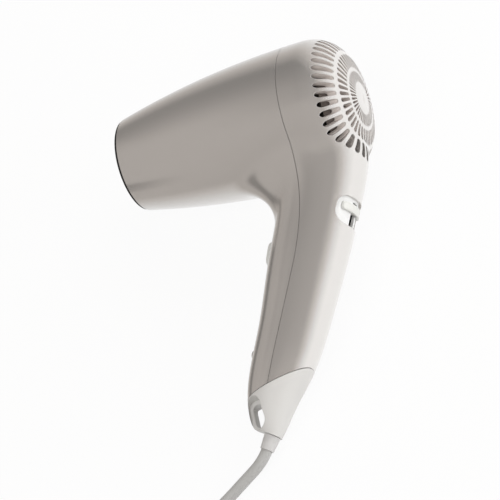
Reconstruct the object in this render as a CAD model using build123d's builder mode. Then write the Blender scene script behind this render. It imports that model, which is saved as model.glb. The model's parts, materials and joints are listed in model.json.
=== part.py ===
from build123d import *
import os
from math import asin, atan2, cos, hypot, pi, radians, sin, sqrt, tan

# A compact hair dryer lying on its side, nozzle to -X, handle to -Y, in millimetres.
# The pieces are drawn upright, with the barrel along X and the handle down -Z, and are then laid down
# by one placement, REST. The cord is drawn where it lies.

# Barrel and dome
OUTLET_X = -123.7
OUTLET_R = 26.9
BARREL_R = 39.0
BARREL_FLAT_X = -14.0
REAR_X = 14.0
DOME_R = 90.0
SHOULDER_R = 22.0
BLEND_R = 25.0
WALL = 2.2

# Handle and end cap: height, front edge, rear edge and half width of each section
HANDLE_SECTIONS = [
    (-14.0, -56.0, 9.0, 34.4),
    (-24.0, -51.5, 11.6, 29.8),
    (-34.0, -45.2, 12.0, 24.0),
    (-46.0, -40.8, 9.6, 20.8),
    (-60.0, -41.8, 5.2, 19.4),
    (-80.0, -47.4, -1.7, 18.7),
    (-120.0, -57.6, -17.3, 16.6),
    (-150.0, -66.2, -32.0, 14.4),
    (-165.0, -66.9, -42.4, 11.4),
    (-173.0, -64.8, -46.8, 8.6),
    (-178.5, -60.6, -50.1, 5.9),
    (-185.0, -63.5, -54.0, 5.2),
]

# Half the stretch over which the handle's slope is taken
LEAN_SPAN = 8.0

# Clearances
SEAM_GAP = 0.3
FIT = 0.15
SLIDE_GAP = 0.35
RUN_GAP = 0.05

# Parting line of the two housings, and joint with the end cap, both in the side view
SEAM_X = -20.2
SEAM_BEND_Z = -72.0
SEAM_BEND_R = 140.0
SEAM_LEAN = 20.0
LIP_REACH = 2.6
LIP_THICK = 1.0
JOINT_FRONT = (-76.0, -159.6)
JOINT_MIDDLE = (-50.0, -154.4)
JOINT_REAR = (-22.0, -143.0)
SPIGOT_REACH = 5.0
SPIGOT_THICK = 1.4
FAR = 260.0

# Intake slots
SLOT_COUNT = 42
SLOT_SHARE = 0.6
RING_ENDS = [(9.2, 15.6), (17.6, 25.8), (28.0, 36.8)]
RIB_DEPTH = 4.2
RIB_FOOT_X = -3.4
SLOT_FROM_X = -9.0

# Slide switch
SWITCH_Z = -67.4
POCKET_WIDTH = 26.0
POCKET_HEIGHT = 15.6
POCKET_CORNER = 6.0
POCKET_DEPTH = 1.7
POCKET_BACK = 1.6
KNOB_WIDTH = 19.6
KNOB_HEIGHT = 4.6
KNOB_RISE = 0.2
KNOB_UP = 2.1
KNOB_CROWN_R = 16.0
KNOB_CORNER = 1.5
KNOB_EDGE = 0.6
SWITCH_TRAVEL = 7.0
STEM_WIDTH = 4.0
STEM_HEIGHT = 4.0
STEM_CORNER = 0.5
STEM_SLOT_SPARE = 2.0
SWITCH_WIDTH = 13.0
SWITCH_LENGTH = 22.0
SWITCH_DEPTH = 10.0
SWITCH_CORNER = 1.0
SWITCH_SEAT = 8.5
FLANGE_LENGTH = 34.0
FLANGE_THICK = 1.0
POST_SIZE = 5.5
POST_CORNER = 1.0
SWITCH_SCREW_R = 1.0

# Push button
BUTTON_Z = -77.5
BUTTON_WIDTH = 9.0
BUTTON_LENGTH = 14.0
BUTTON_RISE = 2.0
BUTTON_EDGE = 1.6
BUTTON_TRAVEL = 2.0
BUTTON_FLANGE = 1.6
BUTTON_FLANGE_THICK = 1.2
BUTTON_FLANGE_TOP = -4.6
PLUNGER_R = 2.0
BUTTON_SWITCH_TOP = -9.2
BUTTON_SWITCH_DEPTH = 8.0
BUTTON_SWITCH_WIDTH = 10.0
BUTTON_SWITCH_LENGTH = 19.0
RIB_THICK = 1.6

# Housing screw and its cover
SCREW_Z = -132.0
SCREW_LEAN = 18.5
SCREW_R = 1.5
SCREW_HEAD_R = 2.8
SCREW_HEAD_THICK = 2.0
SCREW_LENGTH = 20.0
COUNTERBORE_R = 3.3
COUNTERBORE_DEPTH = 8.0
BOSS_R = 4.6
COVER_RISE = 2.0
COVER_SKIRT = 4.0

# Outlet grille
RIM_R = 26.2
RIM_PROUD = 1.4
SLEEVE_LENGTH = 15.0
SLEEVE_WALL = 1.6
GUARD_DEPTH = 3.0
GUARD_BAR = 1.5
GUARD_STEP = 4.5
GUARD_SPOKES = 6

# Heater
TUBE_WALL = 0.6
TUBE_FRONT_X = -114.0
TUBE_REAR_X = -57.0
MICA = 0.8
BOARD_FRONT_X = -112.0
BOARD_REAR_X = -64.0
COIL_R = 17.0
COIL_WIRE = 2.4
COIL_PITCH = 8.0
COIL_TURNS = 5
COIL_START_X = -108.0
THERMOSTAT = (11.0, 6.5, 3.2)
THERMOSTAT_X = -76.0
FUSE_R = 1.7
FUSE_LENGTH = 10.0

# Motor, fan and air guide
MOTOR_R = 13.8
MOTOR_REAR_X = -16.0
MOTOR_LENGTH = 30.0
MOTOR_WALL = 0.9
MOTOR_FIT = 0.1
BELL_THICK = 3.0
TERMINAL_HEIGHT = 2.0
SHAFT_R = 1.15
BUSH_R = 3.0
BUSH_LENGTH = 4.0
ROTOR_R = 10.4
ROTOR_LENGTH = 16.0
COMMUTATOR_R = 3.6
COMMUTATOR_LENGTH = 4.5
MAGNET_THICK = 1.5
FAN_R = 33.0
FAN_HUB_R = 13.0
FAN_FRONT_X = -13.0
FAN_LENGTH = 10.0
FAN_BLADES = 7
BLADE_THICK = 1.4
BLADE_ROOT = (13.0, 45.0)
BLADE_TIP = (16.0, 30.0)
GUIDE_R = 35.2
GUIDE_WALL = 1.4
GUIDE_FRONT_X = -34.0
GUIDE_REAR_X = -4.0
GUIDE_FLANGE = 3.0
VANES = 7
VANE_THICK = 1.4
CUP_WALL = 1.7
STRUTS = 4
DIODE_BOARD = 1.6
DIODE_R = 1.3
DIODE_LENGTH = 5.0
DIODE_RING_R = 9.0

# End cap, strain relief and cord
EYE_WIDTH = 5.6
EYE_LENGTH = 12.8
EYE_CENTRE = (-60.6, -166.7)
EYE_LEAN = 8.0
LUG_THICK = 6.0
LUG_MARGIN = 2.2
EYE_EDGE = 0.8
CORD_D = 6.0
CORD_LEAN = 29.0
NECK_X = -55.6
NECK_Z = -178.0
HOLLOW_FRONT_X = -53.5
BOOT_NECK_R = 3.25
BOOT_INSIDE = 15.0
BOOT_OUTSIDE = 8.0
BOOT_COLLAR_R = 4.4
BOOT_TIP_R = 3.7
BOOT_FLANGE_R = 4.0
BOOT_FLANGE_THICK = 1.6
GRIP_R = 4.0
GRIP_LENGTH = 7.0
TAIL_LENGTH = 12.0
LEAD_R = 1.1
LEAD_BEND_R = 1.5
CORE_SPREAD = 1.5
CORE_RUN = 4.0
TERMINAL_SPREAD = 3.0
TERMINAL_DEPTH = 5.0
TERMINAL_RUN = 6.0
SUPPLY_STATIONS = [(-38.0, -141.0), (-27.0, -108.0)]
HEATER_STATIONS = [(-33.0, -42.0), (-39.0, -31.0)]
HEATER_LEAD_END = -22.0

# How it lies: nose down over its centre of mass, rolled until barrel and handle both touch the floor
LIE_PITCH = -4.0
LIE_ROLL = 8.97

# Cord on the floor: runs from the strain relief to the coil, and headings in the plan, from -X towards -Y
FIRST_RUN = 13.0
FIRST_TURN = 21.0
SECOND_RUN = 22.0
THIRD_RUN = 20.0
LAST_RUN = 12.0
BEND_SHARE = 0.45
ENTRY_HEADING = 30.0
PLUG_HEADING = 90.0
TURN_STEP = 6.6
COIL_LIFT = 1.2
COIL_OUT_R = 48.0
COIL_SPREAD = 3.2
LAYER_TURNS = 3
HEADING_STEP = 0.001
SAMPLES_IN_TURN = 60
PLUG_LEAD = 34.0
TIE_THICK = 0.9
TIE_WIDTH = 8.0

# Plug: two round pins, 4.8 mm thick and 19 mm apart
PLUG_SECTIONS = [(0.0, 11.0, 11.0), (13.0, 14.0, 14.0), (22.0, 31.0, 18.0), (40.0, 36.0, 19.0)]
PIN_R = 2.4
PIN_LENGTH = 19.0
PIN_SPACING = 19.0


def barrel_radius(x):
    """Outer radius of the barrel ahead of its parallel stretch."""
    drop = BARREL_R - OUTLET_R
    run = BARREL_FLAT_X - OUTLET_X
    arc = (run**2 + drop**2) / (2 * drop)
    return BARREL_R - arc + sqrt(arc**2 - (BARREL_FLAT_X - x) ** 2)


def handle_at(z):
    """Front edge, rear edge and half width of the handle at a height."""
    for upper, lower in zip(HANDLE_SECTIONS, HANDLE_SECTIONS[1:]):
        if lower[0] <= z <= upper[0]:
            share = (z - upper[0]) / (lower[0] - upper[0])
            return [a + (b - a) * share for a, b in zip(upper[1:], lower[1:])]
    raise ValueError("height outside the handle")


def body_skin(inset):
    """Solid form of the barrel, dome, handle and end cap, moved in by the inset."""
    radius = BARREL_R - inset
    dome = DOME_R - inset
    dome_centre = REAR_X - DOME_R
    corner_x = dome_centre + sqrt(dome**2 - radius**2)
    mouth_x = OUTLET_X if inset == 0 else OUTLET_X - WALL
    with BuildPart() as skin:
        with BuildSketch(Plane.XZ) as half:
            with BuildLine():
                side = TangentArc((BARREL_FLAT_X, radius), (OUTLET_X, OUTLET_R - inset), tangent=(-1, 0))
                top = Line((BARREL_FLAT_X, radius), (corner_x, radius))
                halfway = asin(radius / dome) / 2
                rear = ThreePointArc(
                    top @ 1,
                    (dome_centre + dome * cos(halfway), dome * sin(halfway)),
                    (dome_centre + dome, 0),
                )
                if inset > 0:
                    Polyline(rear @ 1, (mouth_x, 0), (mouth_x, OUTLET_R - inset), side @ 1)
                else:
                    Polyline(rear @ 1, (mouth_x, 0), side @ 1)
            make_face()
            shoulder = half.vertices().sort_by_distance((corner_x, radius, 0))[0]
            fillet(shoulder, SHOULDER_R - inset)
        revolve(axis=Axis.X)
        for z, front, rear_x, width in HANDLE_SECTIONS:
            with BuildSketch(Plane.XY.offset(z)):
                with Locations(((front + rear_x) / 2, 0)):
                    Ellipse((rear_x - front) / 2 - inset, width - inset)
        loft()
        curved = skin.edges().filter_by(GeomType.BSPLINE)
        fillet([edge for edge in curved if edge.bounding_box().min.Z > -BARREL_R], BLEND_R + inset)
    return skin.part


def seam_zone(shift, ahead):
    """Everything ahead of or behind the parting line, which is moved back by the shift."""
    side = -FAR if ahead else FAR
    foot_x = SEAM_X - (FAR + SEAM_BEND_Z) * tan(radians(SEAM_LEAN))
    with BuildPart() as zone:
        with BuildSketch(Plane.XZ):
            with BuildLine():
                seam = FilletPolyline(
                    (SEAM_X + shift, FAR),
                    (SEAM_X + shift, SEAM_BEND_Z),
                    (foot_x + shift, -FAR),
                    radius=SEAM_BEND_R,
                )
                Polyline(seam @ 1, (side, -FAR), (side, FAR), seam @ 0)
            make_face()
        extrude(amount=BARREL_R + WALL, both=True)
    return zone.part


def joint_zone(lift, above):
    """Everything above or below the joint of handle and end cap, which is moved up by the lift."""
    level = FAR if above else -FAR
    points = [(x, z + lift) for x, z in (JOINT_FRONT, JOINT_MIDDLE, JOINT_REAR)]
    with BuildPart() as zone:
        with BuildSketch(Plane.XZ):
            with BuildLine():
                arc = ThreePointArc(*points)
                rear, front = arc @ 1, arc @ 0
                Polyline(rear, (FAR, rear.Y), (FAR, level), (-FAR, level), (-FAR, front.Y), front)
            make_face()
        extrude(amount=BARREL_R + WALL, both=True)
    return zone.part


def turned(points, origin=(0, 0, 0), direction=(1, 0, 0), across=(0, 1, 0)):
    """Solid turned about an axis from its half profile, given as distance along the axis and radius."""
    plane = Plane(origin=origin, x_dir=direction, z_dir=across)
    with BuildPart() as solid:
        with BuildSketch(plane):
            with BuildLine():
                Polyline(*points, close=True)
            make_face()
        revolve(axis=Axis(origin, direction))
    return solid.part


def tube(points, radius, bend):
    """Round lead along straight runs with equal bends."""
    with BuildPart() as solid:
        with BuildLine() as path:
            FilletPolyline(*points, radius=bend)
        with BuildSketch(Plane(path.line @ 0, z_dir=path.line % 0)):
            Circle(radius)
        sweep()
    return solid.part


def prism(plane, size, corner, start, end, centre=(0, 0)):
    """Rounded bar standing on a plane, between two heights above it."""
    with BuildPart() as block:
        with BuildSketch(plane.offset(start)):
            with Locations(centre):
                RectangleRounded(*size, corner)
        extrude(amount=end - start)
    return block.part


def rod(plane, radius, start, end, centre=(0, 0)):
    """Round bar standing on a plane, between two heights above it."""
    with BuildPart() as bar:
        with BuildSketch(plane.offset(start)):
            with Locations(centre):
                Circle(radius)
        extrude(amount=end - start)
    return bar.part


def common(*solids):
    """What all the given solids share."""
    with BuildPart() as shared:
        add(solids[0])
        for solid in solids[1:]:
            add(solid, mode=Mode.INTERSECT)
    return shared.part


def layer(outer_inset, inner_inset, *limits):
    """Skin between two insets of the housing, within the given limits."""
    with BuildPart() as skin:
        add(body_skin(outer_inset))
        add(body_skin(inner_inset), mode=Mode.SUBTRACT)
        for limit in limits:
            add(limit, mode=Mode.INTERSECT)
    return skin.part


# Planes of the switch, the button and the housing screw, on the handle's skin
switch_rise = handle_at(SWITCH_Z + LEAN_SPAN)[1] - handle_at(SWITCH_Z - LEAN_SPAN)[1]
switch_lean = atan2(switch_rise, 2 * LEAN_SPAN)
SWITCH_PLANE = Plane(
    origin=(handle_at(SWITCH_Z)[1], 0, SWITCH_Z),
    x_dir=(0, 1, 0),
    z_dir=(cos(switch_lean), 0, -sin(switch_lean)),
)
button_rise = handle_at(BUTTON_Z + LEAN_SPAN)[0] - handle_at(BUTTON_Z - LEAN_SPAN)[0]
button_lean = atan2(button_rise, 2 * LEAN_SPAN)
BUTTON_PLANE = Plane(
    origin=(handle_at(BUTTON_Z)[0], 0, BUTTON_Z),
    x_dir=(0, 1, 0),
    z_dir=(-cos(button_lean), 0, sin(button_lean)),
)
SCREW_PLANE = Plane(
    origin=(handle_at(SCREW_Z)[0], 0, SCREW_Z),
    x_dir=(0, 1, 0),
    z_dir=(cos(radians(SCREW_LEAN)), 0, -sin(radians(SCREW_LEAN))),
)
NECK_PLANE = Plane(
    origin=(NECK_X, 0, NECK_Z),
    x_dir=(0, 1, 0),
    z_dir=(-sin(radians(CORD_LEAN)), 0, -cos(radians(CORD_LEAN))),
)

outer = body_skin(0)
inner = body_skin(WALL)
ahead_of_seam = seam_zone(-SEAM_GAP / 2, ahead=True)
behind_seam = seam_zone(SEAM_GAP / 2, ahead=False)
above_joint = joint_zone(SEAM_GAP / 2, above=True)
below_joint = joint_zone(-SEAM_GAP / 2, above=False)
boss_skin = body_skin(WALL / 2)
screw_boss = rod(SCREW_PLANE, BOSS_R, 0, FAR / 4)

# Front housing: barrel and front half of the handle
button_opening = prism(
    BUTTON_PLANE,
    (BUTTON_WIDTH + 2 * SLIDE_GAP, BUTTON_LENGTH + 2 * SLIDE_GAP),
    BUTTON_WIDTH / 2 - SLIDE_GAP,
    BUTTON_SWITCH_TOP,
    2 * BUTTON_RISE,
)
rib_centre = BUTTON_SWITCH_LENGTH / 2 + FIT + RIB_THICK / 2
with BuildPart() as front_housing:
    add(outer)
    add(inner, mode=Mode.SUBTRACT)
    for side in (-1, 1):
        rib = prism(
            BUTTON_PLANE,
            (BUTTON_SWITCH_WIDTH, RIB_THICK),
            RIB_THICK / 4,
            BUTTON_SWITCH_TOP - BUTTON_SWITCH_DEPTH,
            0,
            centre=(0, side * rib_centre),
        )
        add(common(rib, boss_skin))
    add(common(screw_boss, boss_skin))
    add(ahead_of_seam, mode=Mode.INTERSECT)
    add(above_joint, mode=Mode.INTERSECT)
    add(button_opening, mode=Mode.SUBTRACT)
    add(rod(SCREW_PLANE, COUNTERBORE_R, -BOSS_R, COUNTERBORE_DEPTH), mode=Mode.SUBTRACT)
    add(rod(SCREW_PLANE, SCREW_R + FIT, 0, FAR / 4), mode=Mode.SUBTRACT)

# Rear housing: dome with the intake slots, rear half of the handle, pocket of the slide switch
with BuildSketch() as slots:
    for start, end in RING_ENDS:
        inner_half = SLOT_SHARE * pi * start / SLOT_COUNT
        outer_half = SLOT_SHARE * pi * end / SLOT_COUNT
        with BuildLine():
            near = Line((start + inner_half, inner_half), (end - outer_half, outer_half))
            tip = ThreePointArc(near @ 1, (end, 0), (end - outer_half, -outer_half))
            back = Line(tip @ 1, (start + inner_half, -inner_half))
            ThreePointArc(back @ 1, (start, 0), near @ 0)
        make_face()

pocket = (POCKET_WIDTH, POCKET_HEIGHT)
pocket_surround = (POCKET_WIDTH + 2 * WALL, POCKET_HEIGHT + 2 * WALL)
pocket_reach = 3 * WALL
pocket_foot = -2 * SWITCH_SEAT
pocket_fill = prism(SWITCH_PLANE, pocket_surround, POCKET_CORNER + WALL, pocket_foot, pocket_reach)
with BuildPart() as pocket_cut:
    add(prism(SWITCH_PLANE, pocket, POCKET_CORNER, pocket_foot, pocket_reach))
    add(body_skin(POCKET_DEPTH), mode=Mode.SUBTRACT)
stem_gap = SLIDE_GAP + FIT
slot_top = KNOB_UP + STEM_HEIGHT / 2 + STEM_SLOT_SPARE
slot_foot = KNOB_UP - STEM_HEIGHT / 2 - SWITCH_TRAVEL - stem_gap
stem_slot = prism(
    SWITCH_PLANE,
    (STEM_WIDTH + 2 * stem_gap, slot_top - slot_foot),
    stem_gap,
    -SWITCH_SEAT - SWITCH_DEPTH / 2,
    pocket_reach,
    centre=(0, (slot_top + slot_foot) / 2),
)
post_centre = (FLANGE_LENGTH - POST_SIZE) / 2
lip_skin = WALL + FIT
lip_front = seam_zone(-LIP_REACH, ahead=False)
lip_rear = seam_zone(LIP_REACH, ahead=True)
above_spigot = joint_zone(SPIGOT_REACH * 2, above=True)
with BuildPart() as rear_housing:
    add(outer)
    add(inner, mode=Mode.SUBTRACT)
    add(layer(WALL / 2, RIB_DEPTH, rod(Plane.YZ, BARREL_R, RIB_FOOT_X, REAR_X)))
    add(layer(POCKET_DEPTH, POCKET_DEPTH + POCKET_BACK, pocket_fill))
    for side in (-1, 1):
        post = prism(
            SWITCH_PLANE,
            (POST_SIZE, POST_SIZE),
            POST_CORNER,
            -SWITCH_SEAT,
            0,
            centre=(0, side * post_centre),
        )
        add(common(post, boss_skin))
    add(common(screw_boss, boss_skin))
    add(behind_seam, mode=Mode.INTERSECT)
    add(layer(WALL / 2, lip_skin + LIP_THICK, behind_seam, lip_rear, above_spigot))
    add(layer(lip_skin, lip_skin + LIP_THICK, lip_front, lip_rear, above_spigot))
    add(above_joint, mode=Mode.INTERSECT)
    add(pocket_cut.part, mode=Mode.SUBTRACT)
    add(stem_slot, mode=Mode.SUBTRACT)
    for side in (-1, 1):
        pilot = rod(
            SWITCH_PLANE,
            SWITCH_SCREW_R + RUN_GAP,
            -SWITCH_SEAT,
            -POCKET_DEPTH - POCKET_BACK,
            centre=(0, side * post_centre),
        )
        add(pilot, mode=Mode.SUBTRACT)
    add(
        rod(SCREW_PLANE, SCREW_R + RUN_GAP, 0, COUNTERBORE_DEPTH + SCREW_LENGTH + SCREW_R),
        mode=Mode.SUBTRACT,
    )
    with BuildSketch(Plane.YZ.offset(SLOT_FROM_X)):
        with PolarLocations(0, SLOT_COUNT):
            add(slots.sketch)
    extrude(amount=REAR_X - SLOT_FROM_X + WALL, mode=Mode.SUBTRACT)


# Outlet grille: rim, sleeve and guard
sleeve_out = OUTLET_R - WALL - FIT
sleeve_in = sleeve_out - SLEEVE_WALL
rim_x = OUTLET_X - RIM_PROUD
with BuildPart() as outlet_grille:
    add(
        turned(
            [
                (rim_x, sleeve_in),
                (rim_x, RIM_R),
                (OUTLET_X - FIT, RIM_R),
                (OUTLET_X - FIT, sleeve_out),
                (OUTLET_X + SLEEVE_LENGTH, sleeve_out),
                (OUTLET_X + SLEEVE_LENGTH, sleeve_in),
            ]
        )
    )
    with BuildSketch(Plane.YZ.offset(OUTLET_X)):
        for ring in range(int(sleeve_in / GUARD_STEP)):
            ring_r = sleeve_in - GUARD_STEP + GUARD_BAR - ring * GUARD_STEP
            Circle(ring_r)
            if ring_r > GUARD_STEP:
                Circle(ring_r - GUARD_BAR, mode=Mode.SUBTRACT)
        with PolarLocations(0, GUARD_SPOKES):
            Rectangle(sleeve_in + FIT, GUARD_BAR, align=(Align.MIN, Align.CENTER))
    extrude(amount=GUARD_DEPTH)

# Heater: mica tube, crossed boards, coil, thermostat and thermal fuse
tube_out = sleeve_in - FIT
tube_in = tube_out - TUBE_WALL
with BuildPart() as mica_tube:
    add(
        turned(
            [
                (TUBE_FRONT_X, tube_in),
                (TUBE_FRONT_X, tube_out),
                (TUBE_REAR_X, tube_out),
                (TUBE_REAR_X, tube_in),
            ]
        )
    )

board_half = tube_in - FIT
board_length = BOARD_REAR_X - BOARD_FRONT_X
board_x = (BOARD_REAR_X + BOARD_FRONT_X) / 2
notch_foot = COIL_R - COIL_WIRE / 2 - FIT


def mica_board(plane, slot_side, first, second):
    """Heater board with a half slot for the other board and notches for the coil."""
    with BuildPart() as board:
        with BuildSketch(plane):
            with Locations((board_x, 0)):
                Rectangle(board_length, 2 * board_half)
            with Locations((board_x + slot_side * board_length / 4, 0)):
                Rectangle(board_length / 2 + FIT, MICA + 2 * FIT, mode=Mode.SUBTRACT)
            for edge, quarter in ((-1, first), (1, second)):
                for turn in range(COIL_TURNS + 1):
                    notch_x = COIL_START_X + COIL_PITCH * (turn + quarter)
                    with Locations((notch_x, edge * (notch_foot + COIL_R) / 2)):
                        Rectangle(COIL_WIRE + 2 * FIT, COIL_R - notch_foot, mode=Mode.SUBTRACT)
                    with Locations((notch_x, edge * (board_half + COIL_R) / 2)):
                        Rectangle(COIL_WIRE + 2 * FIT, board_half - COIL_R, mode=Mode.SUBTRACT)
        extrude(amount=MICA / 2, both=True)
    return board


mica_board_a = mica_board(Plane.XZ, -1, 0, 0.5)
mica_board_b = mica_board(Plane.XY, 1, 0.75, 0.25)

with BuildPart() as winding:
    with BuildLine() as helix:
        Helix(pitch=COIL_PITCH, height=COIL_PITCH * COIL_TURNS, radius=COIL_R)
    with BuildSketch(Plane(helix.line @ 0, z_dir=helix.line % 0)):
        Circle(COIL_WIRE / 2)
    sweep(is_frenet=True)
with BuildPart() as heater_coil:
    add(Pos(COIL_START_X, 0, 0) * Rot(0, 90, 0) * winding.part)

with BuildPart() as thermostat:
    with Locations((THERMOSTAT_X, THERMOSTAT[1], MICA / 2)):
        Box(*THERMOSTAT, align=(Align.CENTER, Align.CENTER, Align.MIN))

with BuildPart() as thermal_fuse:
    fuse_plane = Plane(origin=(THERMOSTAT_X, -THERMOSTAT[1], MICA / 2 + FUSE_R), z_dir=(1, 0, 0))
    add(rod(fuse_plane, FUSE_R, -FUSE_LENGTH / 2, FUSE_LENGTH / 2))

# Motor: can, end bell, bushes, magnets, shaft and rotor
motor_front = MOTOR_REAR_X - MOTOR_LENGTH
can_in = MOTOR_R - MOTOR_WALL
can_floor = MOTOR_REAR_X - 2 * MOTOR_WALL
with BuildPart() as motor_can:
    add(
        turned(
            [
                (motor_front, can_in),
                (motor_front, MOTOR_R),
                (MOTOR_REAR_X, MOTOR_R),
                (MOTOR_REAR_X, BUSH_R),
                (can_floor, BUSH_R),
                (can_floor, can_in),
            ]
        )
    )

bell_front = motor_front - BELL_THICK
terminal_front = bell_front - TERMINAL_HEIGHT
with BuildPart() as motor_end_bell:
    add(
        turned(
            [
                (bell_front, BUSH_R),
                (bell_front, MOTOR_R - MOTOR_FIT),
                (motor_front, MOTOR_R - MOTOR_FIT),
                (motor_front, BUSH_R),
            ]
        )
    )
    for side in (-1, 1):
        add(rod(Plane.YZ, SCREW_R, terminal_front, motor_front, centre=(side * DIODE_RING_R, 0)))

with BuildPart() as shaft_bushes:
    for middle in (bell_front + BELL_THICK / 2, MOTOR_REAR_X - MOTOR_WALL):
        add(
            turned(
                [
                    (middle - BUSH_LENGTH / 2, SHAFT_R + RUN_GAP),
                    (middle - BUSH_LENGTH / 2, BUSH_R),
                    (middle + BUSH_LENGTH / 2, BUSH_R),
                    (middle + BUSH_LENGTH / 2, SHAFT_R + RUN_GAP),
                ]
            )
        )

fan_rear = FAN_FRONT_X + FAN_LENGTH
with BuildPart() as motor_shaft:
    add(rod(Plane.YZ, SHAFT_R, bell_front - SHAFT_R, fan_rear - SHAFT_R))

rotor_front = (motor_front + can_floor - ROTOR_LENGTH) / 2
with BuildPart() as rotor:
    add(
        turned(
            [
                (rotor_front - COMMUTATOR_LENGTH, SHAFT_R),
                (rotor_front - COMMUTATOR_LENGTH, COMMUTATOR_R),
                (rotor_front, COMMUTATOR_R),
                (rotor_front, ROTOR_R),
                (rotor_front + ROTOR_LENGTH, ROTOR_R),
                (rotor_front + ROTOR_LENGTH, SHAFT_R),
            ]
        )
    )

magnet_out = can_in - RUN_GAP
with BuildPart() as motor_magnets:
    add(
        turned(
            [
                (rotor_front, magnet_out - MAGNET_THICK),
                (rotor_front, magnet_out),
                (rotor_front + ROTOR_LENGTH, magnet_out),
                (rotor_front + ROTOR_LENGTH, magnet_out - MAGNET_THICK),
            ]
        )
    )
    with Locations((motor_front + MOTOR_LENGTH / 2, 0, 0)):
        Box(MOTOR_LENGTH, ROTOR_R, 2 * MOTOR_R, mode=Mode.SUBTRACT)

# Fan
hub_wall = BLADE_THICK
fan_x = FAN_FRONT_X + FAN_LENGTH / 2
with BuildPart() as blade:
    blade_ends = ((FAN_HUB_R - hub_wall / 2, BLADE_ROOT), (FAN_R + BLADE_THICK, BLADE_TIP))
    for radius, (chord, pitch) in blade_ends:
        with BuildSketch(Plane(origin=(fan_x, 0, radius), z_dir=(0, 0, 1))):
            Rectangle(chord, BLADE_THICK, rotation=90 - pitch)
    loft(ruled=True)
    add(rod(Plane.YZ, FAN_R, FAN_FRONT_X - FAN_LENGTH, fan_rear + FAN_LENGTH), mode=Mode.INTERSECT)
with BuildPart() as fan:
    add(
        turned(
            [
                (FAN_FRONT_X, FAN_HUB_R - hub_wall),
                (FAN_FRONT_X, FAN_HUB_R),
                (fan_rear, FAN_HUB_R),
                (fan_rear, SHAFT_R),
                (FAN_FRONT_X, SHAFT_R),
                (FAN_FRONT_X, BUSH_R),
                (fan_rear - hub_wall, BUSH_R),
                (fan_rear - hub_wall, FAN_HUB_R - hub_wall),
            ]
        )
    )
    for number in range(FAN_BLADES):
        add(blade.part, rotation=(360 / FAN_BLADES * number, 0, 0))

# Air guide: outer ring, vanes, motor cup, struts and the spigot of the heater tube
guide_in = GUIDE_R - GUIDE_WALL
flange_r = barrel_radius(GUIDE_FRONT_X) - WALL - FIT
cup_in = MOTOR_R + MOTOR_FIT
cup_out = cup_in + CUP_WALL
spigot_out = tube_in - FIT
spigot_in = spigot_out - GUIDE_WALL
spigot_front = TUBE_REAR_X - SPIGOT_REACH
vane_front = GUIDE_FRONT_X + VANE_THICK
vane_rear = MOTOR_REAR_X - VANE_THICK
strut_rear = motor_front + SPIGOT_REACH
with BuildPart() as air_guide:
    add(
        turned(
            [
                (GUIDE_FRONT_X, guide_in),
                (GUIDE_FRONT_X, flange_r),
                (GUIDE_FRONT_X + GUIDE_FLANGE, flange_r),
                (GUIDE_FRONT_X + GUIDE_FLANGE, GUIDE_R),
                (GUIDE_REAR_X, GUIDE_R),
                (GUIDE_REAR_X, guide_in),
            ]
        )
    )
    add(
        turned(
            [
                (motor_front + VANE_THICK, cup_in),
                (motor_front + VANE_THICK, cup_out),
                (vane_rear, cup_out),
                (vane_rear, cup_in),
            ]
        )
    )
    add(
        turned(
            [
                (spigot_front, spigot_in),
                (spigot_front, spigot_out),
                (TUBE_REAR_X + VANE_THICK, spigot_out),
                (TUBE_REAR_X + VANE_THICK, spigot_in),
            ]
        )
    )
    for number in range(VANES):
        with Locations(Rot(360 / VANES * number, 0, 0)):
            with Locations(((vane_front + vane_rear) / 2, 0, (cup_out + guide_in) / 2)):
                Box(vane_rear - vane_front, VANE_THICK, guide_in - cup_out + CUP_WALL)
    for number in range(STRUTS):
        with Locations(Rot(360 / STRUTS * (number + 0.5), 0, 0)):
            with Locations(((spigot_front + strut_rear) / 2, 0, (cup_out + spigot_in) / 2)):
                Box(strut_rear - spigot_front, VANE_THICK, spigot_in - cup_out + GUIDE_WALL)

# Rectifier on the motor's terminals
board_front = terminal_front - DIODE_BOARD
with BuildPart() as diode_board:
    add(rod(Plane.YZ, MOTOR_R, board_front, terminal_front))
    add(rod(Plane.YZ, SCREW_R * 2, board_front, terminal_front), mode=Mode.SUBTRACT)

with BuildPart() as rectifier_diodes:
    for number in range(4):
        with Locations(Rot(90 * number + 45, 0, 0)):
            with Locations((board_front - DIODE_R, 0, DIODE_RING_R)):
                Cylinder(DIODE_R, DIODE_LENGTH, rotation=(90, 0, 0))

# Slide switch: knob, body and its two screws
bar_shift = (0, KNOB_UP)
crown_plane = Plane(
    origin=SWITCH_PLANE.from_local_coords((0, 0, KNOB_RISE - KNOB_CROWN_R)),
    x_dir=SWITCH_PLANE.x_dir,
    z_dir=SWITCH_PLANE.y_dir,
)
with BuildPart() as switch_knob:
    bar = (KNOB_WIDTH, KNOB_HEIGHT)
    add(prism(SWITCH_PLANE, bar, KNOB_CORNER, -SWITCH_SEAT, KNOB_CROWN_R, bar_shift))
    add(rod(crown_plane, KNOB_CROWN_R, -FAR, FAR), mode=Mode.INTERSECT)
    crown = switch_knob.faces().sort_by(Axis(SWITCH_PLANE.origin, SWITCH_PLANE.z_dir))[-1]
    fillet(crown.edges(), KNOB_EDGE)
    add(body_skin(POCKET_DEPTH - SLIDE_GAP), mode=Mode.SUBTRACT)
    stem_end = -SWITCH_SEAT - STEM_HEIGHT
    stem = (STEM_WIDTH, STEM_HEIGHT)
    add(prism(SWITCH_PLANE, stem, STEM_CORNER, stem_end, -POCKET_DEPTH / 2, bar_shift))

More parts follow.
